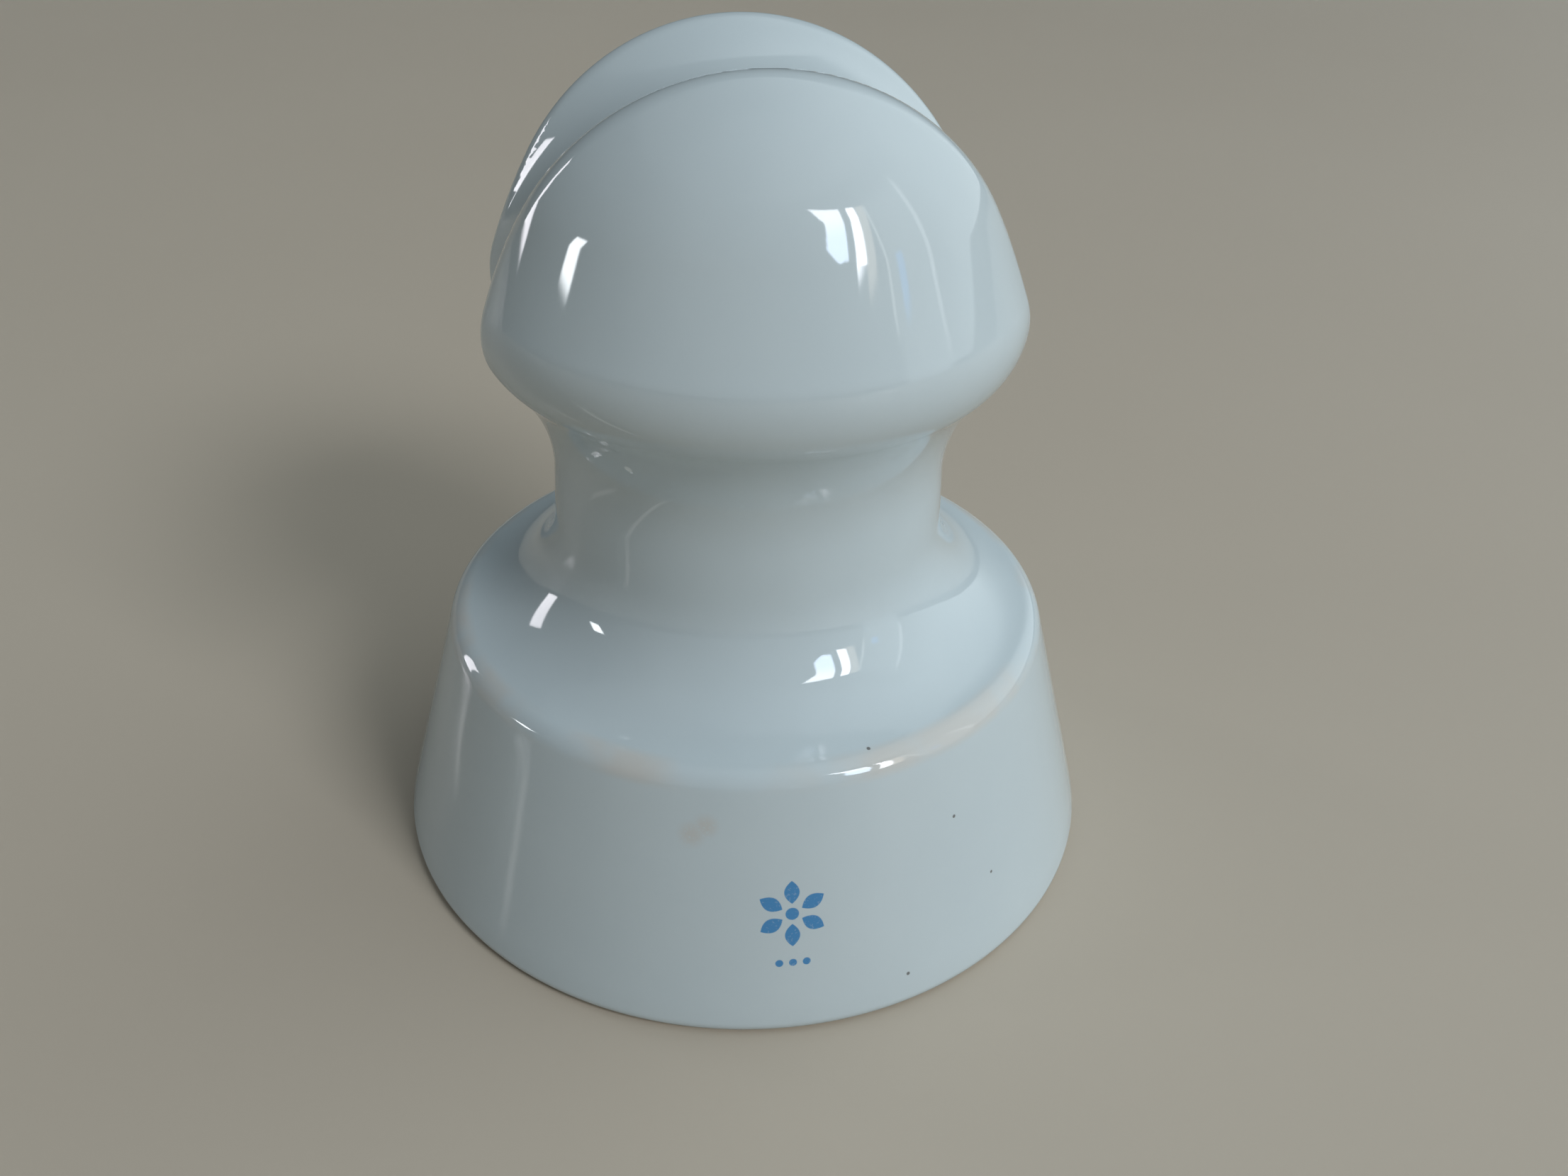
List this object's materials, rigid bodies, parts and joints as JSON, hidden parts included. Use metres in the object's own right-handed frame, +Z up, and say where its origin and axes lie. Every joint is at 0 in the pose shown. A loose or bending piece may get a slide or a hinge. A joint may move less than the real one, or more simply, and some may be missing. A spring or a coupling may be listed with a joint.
{
  "type": "pin insulator",
  "caption": "Porcelain pin insulator: a hollow skirt with a threaded pin hole, a waist groove, and a saddle groove over its domed head to carry and tie a line wire.",
  "frame": {"origin": "centre of the foot ring, in the plane it stands on", "axes": "+Z up along the pin hole towards the head; the saddle groove runs along X"},
  "size_m": [0.1116, 0.1116, 0.1197],
  "materials": {
    "porcelain": "white glaze with a faint blue-grey cast, glossy; bare matt porcelain on the foot ring and in the pin hole"
  },
  "bodies": {
    "root": {"porcelain_body": "porcelain"}
  },
  "joints": []
}
